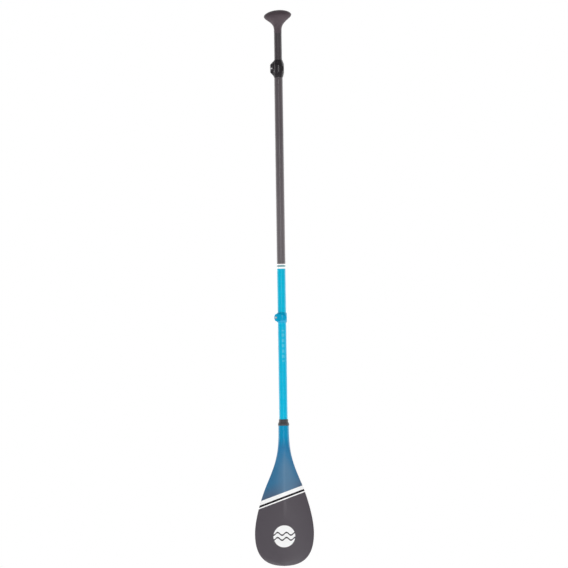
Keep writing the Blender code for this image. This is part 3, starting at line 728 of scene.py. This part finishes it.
# The blue runs down the neck into slate just above the stripes, and a lighter blue is painted over the
# spine as a painted highlight
paint_up = linear(STRIPES[-1][1])
for follows, start, end, colour in BLUES:
    risen = add_node(
        tree,
        "ShaderNodeMapRange",
        {"Value": slanted if follows else axes[2], "From Min": tip + start, "From Max": tip + end},
    )
    paint_up = add_node(
        tree,
        "ShaderNodeMix",
        {"Factor": risen.outputs[0], 6: paint_up, 7: linear(colour)},
        data_type="RGBA",
    ).outputs[2]
spread = add_node(
    tree,
    "ShaderNodeMapRange",
    {
        "Value": axes[2],
        "From Min": tip + SPINE_HIGHLIGHT_SPREAD[0],
        "From Max": tip + SPINE_HIGHLIGHT_SPREAD[1],
        "To Min": SPINE_HIGHLIGHT_WIDTH[0],
        "To Max": SPINE_HIGHLIGHT_WIDTH[1],
    },
).outputs[0]
sideways = add_node(
    tree, "ShaderNodeMath", {0: spread, 1: -SPINE_HIGHLIGHT_SHIFT, 2: axes[0]}, operation="MULTIPLY_ADD"
).outputs[0]
sideways = add_node(tree, "ShaderNodeMath", {0: sideways}, operation="ABSOLUTE").outputs[0]
# Painted highlight: a paler blue down the spine, widening low down and set a little to one side
painted_spine_highlight = add_node(
    tree,
    "ShaderNodeMapRange",
    {"Value": sideways, "From Min": 0.0, "From Max": spread, "To Min": SPINE_HIGHLIGHT_SHARE, "To Max": 0.0},
    interpolation_type="SMOOTHSTEP",
).outputs[0]
below = add_node(
    tree,
    "ShaderNodeMapRange",
    {"Value": axes[2], "From Min": tip + SPINE_HIGHLIGHT_FADE[0], "From Max": tip + SPINE_HIGHLIGHT_FADE[1]},
).outputs[0]
painted_spine_highlight = add_node(
    tree, "ShaderNodeMath", {0: painted_spine_highlight, 1: below}, operation="MULTIPLY"
).outputs[0]
blues_and_highlight = add_node(
    tree,
    "ShaderNodeMix",
    {"Factor": painted_spine_highlight, 6: paint_up, 7: linear("5f829f")},
    data_type="RGBA",
)
paint = linear("555056")
for height, colour in STRIPES:
    above = add_node(
        tree,
        "ShaderNodeMapRange",
        {
            "Value": slanted,
            "From Min": tip + height - PAINT_EDGE,
            "From Max": tip + height + PAINT_EDGE,
        },
    )
    next_paint = blues_and_highlight.outputs[2] if height == STRIPES[-1][0] else linear(colour)
    paint = add_node(
        tree,
        "ShaderNodeMix",
        {"Factor": above.outputs[0], 6: paint, 7: next_paint},
        data_type="RGBA",
    ).outputs[2]
# The disc: white within its radius, with dark lines at two heights that swing as a sine across it
height, radius = EMBLEM
centre = add_node(
    tree, "ShaderNodeMapping", {"Vector": place, "Location": (0.0, 0.0, -tip - height)}
)
spot = add_node(tree, "ShaderNodeSeparateXYZ", {0: centre.outputs[0]}).outputs
flat_spot = add_node(tree, "ShaderNodeCombineXYZ", {0: spot[0], 2: spot[2]}).outputs[0]
reach = add_node(
    tree, "ShaderNodeVectorMath", {0: flat_spot}, operation="LENGTH"
).outputs["Value"]
disc = add_node(
    tree,
    "ShaderNodeMapRange",
    {"Value": reach, "From Min": radius + PAINT_EDGE, "From Max": radius - PAINT_EDGE},
).outputs[0]
length, swing, apart, half_line = WAVE
phase = add_node(
    tree, "ShaderNodeMath", {0: spot[0], 1: 2 * pi / length}, operation="MULTIPLY"
).outputs[0]
sine = add_node(tree, "ShaderNodeMath", {0: phase}, operation="SINE").outputs[0]
off = add_node(
    tree, "ShaderNodeMath", {0: sine, 1: -swing, 2: spot[2]}, operation="MULTIPLY_ADD"
).outputs[0]
off = add_node(tree, "ShaderNodeMath", {0: off}, operation="ABSOLUTE").outputs[0]
off = add_node(tree, "ShaderNodeMath", {0: off, 1: apart}, operation="SUBTRACT").outputs[0]
off = add_node(tree, "ShaderNodeMath", {0: off}, operation="ABSOLUTE").outputs[0]
wave = add_node(
    tree,
    "ShaderNodeMapRange",
    {"Value": off, "From Min": half_line + PAINT_EDGE, "From Max": half_line - PAINT_EDGE},
).outputs[0]
mark = add_node(
    tree,
    "ShaderNodeMix",
    {"Factor": wave, 6: linear("f6f6f6"), 7: linear("39343a")},
    data_type="RGBA",
).outputs[2]
# The disc is printed on the front face alone
front = add_node(tree, "ShaderNodeNewGeometry").outputs["Normal"]
facing = add_node(tree, "ShaderNodeSeparateXYZ", {0: front}).outputs[1]
printed = add_node(tree, "ShaderNodeMath", {0: facing, 1: 0.0}, operation="LESS_THAN").outputs[0]
printed = add_node(tree, "ShaderNodeMath", {0: printed, 1: disc}, operation="MULTIPLY").outputs[0]
paint = add_node(
    tree,
    "ShaderNodeMix",
    {"Factor": printed, 6: paint, 7: mark},
    data_type="RGBA",
).outputs[2]
# The paint turns darker within a millimetre of the seam
rim_distance = add_node(tree, "ShaderNodeAttribute", attribute_name="rim_distance").outputs["Fac"]
darker_seam = add_node(
    tree,
    "ShaderNodeMapRange",
    {"Value": rim_distance, "From Min": SEAM_DARKENING[0], "From Max": SEAM_DARKENING[1]},
).outputs[0]
paint = add_node(
    tree,
    "ShaderNodeMix",
    {"Factor": darker_seam, 6: paint, 7: linear("2f2b2e")},
    data_type="RGBA",
).outputs[2]
ripple = add_node(
    tree, "ShaderNodeTexNoise", {"Vector": place, "Scale": 1 / 0.0025, "Detail": 2.0}
).outputs[0]
gloss = add_node(tree, "ShaderNodeMapRange", {"Value": ripple, "To Min": 0.28, "To Max": 0.34})
bump = add_node(tree, "ShaderNodeBump", {"Height": ripple, "Distance": 0.00002})
shader = add_node(
    tree,
    "ShaderNodeBsdfPrincipled",
    {
        "Base Color": paint,
        "Roughness": gloss.outputs[0],
        "IOR": 1.4,
        "Coat Weight": 0.15,
        "Coat Roughness": 0.20,
        "Normal": bump.outputs[0],
    },
)
add_node(tree, "ShaderNodeOutputMaterial", {"Surface": shader.outputs[0]})
for node, name, side in (
    ("blade_front", "blade_front_shell", -1),
    ("blade_back", "blade_back_shell", 1),
):
    shell = blade_skin(name, side)
    shell.data.materials.append(lacquer)
    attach(shell, "blade_section")
    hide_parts(node)


# ---- Studio ----
# A pale floor in a white room, low enough for the blade section to slide out above it. The room is
# dark in front and bright at the sides and behind, which lines the tubes' edges with light. A tall
# softbox lights the colours and has no reflection, and a far one is only a highlight on the upper half.

FLOOR_RADIUS = 3.5
FLOOR_DROP = 0.1200  # the blade section slides 115 mm down before it comes off
floor_mesh = bpy.data.meshes.new("studio_floor")
shape = bmesh.new()
bmesh.ops.create_circle(shape, cap_ends=True, segments=96, radius=FLOOR_RADIUS)
bmesh.ops.translate(shape, verts=shape.verts, vec=(0, 0, tip - FLOOR_DROP))
shape.to_mesh(floor_mesh)
shape.free()
floor = bpy.data.objects.new("studio_floor", floor_mesh)
bpy.context.scene.collection.objects.link(floor)
pale = bpy.data.materials.new("pale studio paper")
pale.use_nodes = True
pale_shader = pale.node_tree.nodes["Principled BSDF"]
pale_shader.inputs["Base Color"].default_value = linear("f2f2f2")
pale_shader.inputs["Roughness"].default_value = 0.9
pale_shader.inputs["Emission Color"].default_value = linear("ffffff")
pale_shader.inputs["Emission Strength"].default_value = 0.55
floor_mesh.materials.append(pale)

world = bpy.data.worlds.new("white room")
bpy.context.scene.world = world
world.use_nodes = True
tree = world.node_tree
tree.nodes.clear()
direction = add_node(tree, "ShaderNodeTexCoord").outputs["Generated"]
level = add_node(
    tree, "ShaderNodeVectorMath", {0: direction, 1: (1.0, 1.0, 0.0)}, operation="MULTIPLY"
).outputs[0]
level = add_node(tree, "ShaderNodeVectorMath", {0: level}, operation="NORMALIZE").outputs[0]
behind = add_node(tree, "ShaderNodeSeparateXYZ", {0: level}).outputs[1]
brightness = add_node(
    tree,
    "ShaderNodeMapRange",
    {"Value": behind, "From Min": -0.40, "From Max": 0.45, "To Min": 0.06, "To Max": 1.9},
    interpolation_type="SMOOTHSTEP",
).outputs[0]
rise = add_node(tree, "ShaderNodeSeparateXYZ", {0: direction}).outputs[2]
lowered = add_node(
    tree,
    "ShaderNodeMapRange",
    {"Value": rise, "From Min": 0.25, "From Max": 0.85, "To Min": 1.0, "To Max": 0.35},
).outputs[0]
brightness = add_node(
    tree, "ShaderNodeMath", {0: brightness, 1: lowered}, operation="MULTIPLY"
).outputs[0]
seen = add_node(tree, "ShaderNodeLightPath").outputs["Is Camera Ray"]
strength = add_node(
    tree, "ShaderNodeMix", {"Factor": seen, 2: brightness, 3: 1.0}, data_type="FLOAT"
).outputs[0]
room = add_node(
    tree, "ShaderNodeBackground", {"Color": linear("ffffff"), "Strength": strength}
)
add_node(tree, "ShaderNodeOutputWorld", {"Surface": room.outputs[0]})

for name, width, height, watts, place, aim, mirrored in (
    ("front softbox", 1.2, 3.2, 230, (0.0, -6.0, -0.3), (0.0, 0.0, -0.3), False),
    ("far softbox", 3.0, 1.0, 54, (0.8, -12.0, 0.33), (0.0, 0.0, 0.33), True),
):
    lamp = bpy.data.objects.new(name, bpy.data.lights.new(name, "AREA"))
    lamp.data.shape = "RECTANGLE"
    lamp.data.size, lamp.data.size_y, lamp.data.energy = width, height, watts
    turn = (Vector(place) - Vector(aim)).to_track_quat("Z", "Y").to_matrix().to_4x4()
    lamp.matrix_world = Matrix.Translation(place) @ turn
    lamp.visible_glossy, lamp.visible_diffuse = mirrored, not mirrored
    bpy.context.scene.collection.objects.link(lamp)
bpy.context.scene.view_settings.view_transform = "Standard"

# The camera stands far off, level with the lower end of the middle shaft, a little to the right of
# the front, and is rolled by under a degree
DISTANCE = 40.0
PICTURE_WIDTH = 1.922  # what the picture spans at the shaft
AIM = (0.0085, 0.9530)  # right of the shaft's axis, height
ROLL = radians(0.85)
AZIMUTH = radians(4.0)
forward = Vector((-sin(AZIMUTH), cos(AZIMUTH), 0))
level_right = Vector((cos(AZIMUTH), sin(AZIMUTH), 0))
right = level_right * cos(ROLL) - Vector((0, 0, 1)) * sin(ROLL)
up = level_right * sin(ROLL) + Vector((0, 0, 1)) * cos(ROLL)
camera = bpy.data.objects.new("camera", bpy.data.cameras.new("camera"))
bpy.context.scene.collection.objects.link(camera)
camera.data.lens = camera.data.sensor_width * DISTANCE / PICTURE_WIDTH
camera.data.clip_end = 100
stand = Vector((0, 0, tip + AIM[1])) + right * AIM[0] - forward * DISTANCE
camera.matrix_world = Matrix.Translation(stand) @ Matrix((right, up, -forward)).transposed().to_4x4()
bpy.context.scene.camera = camera
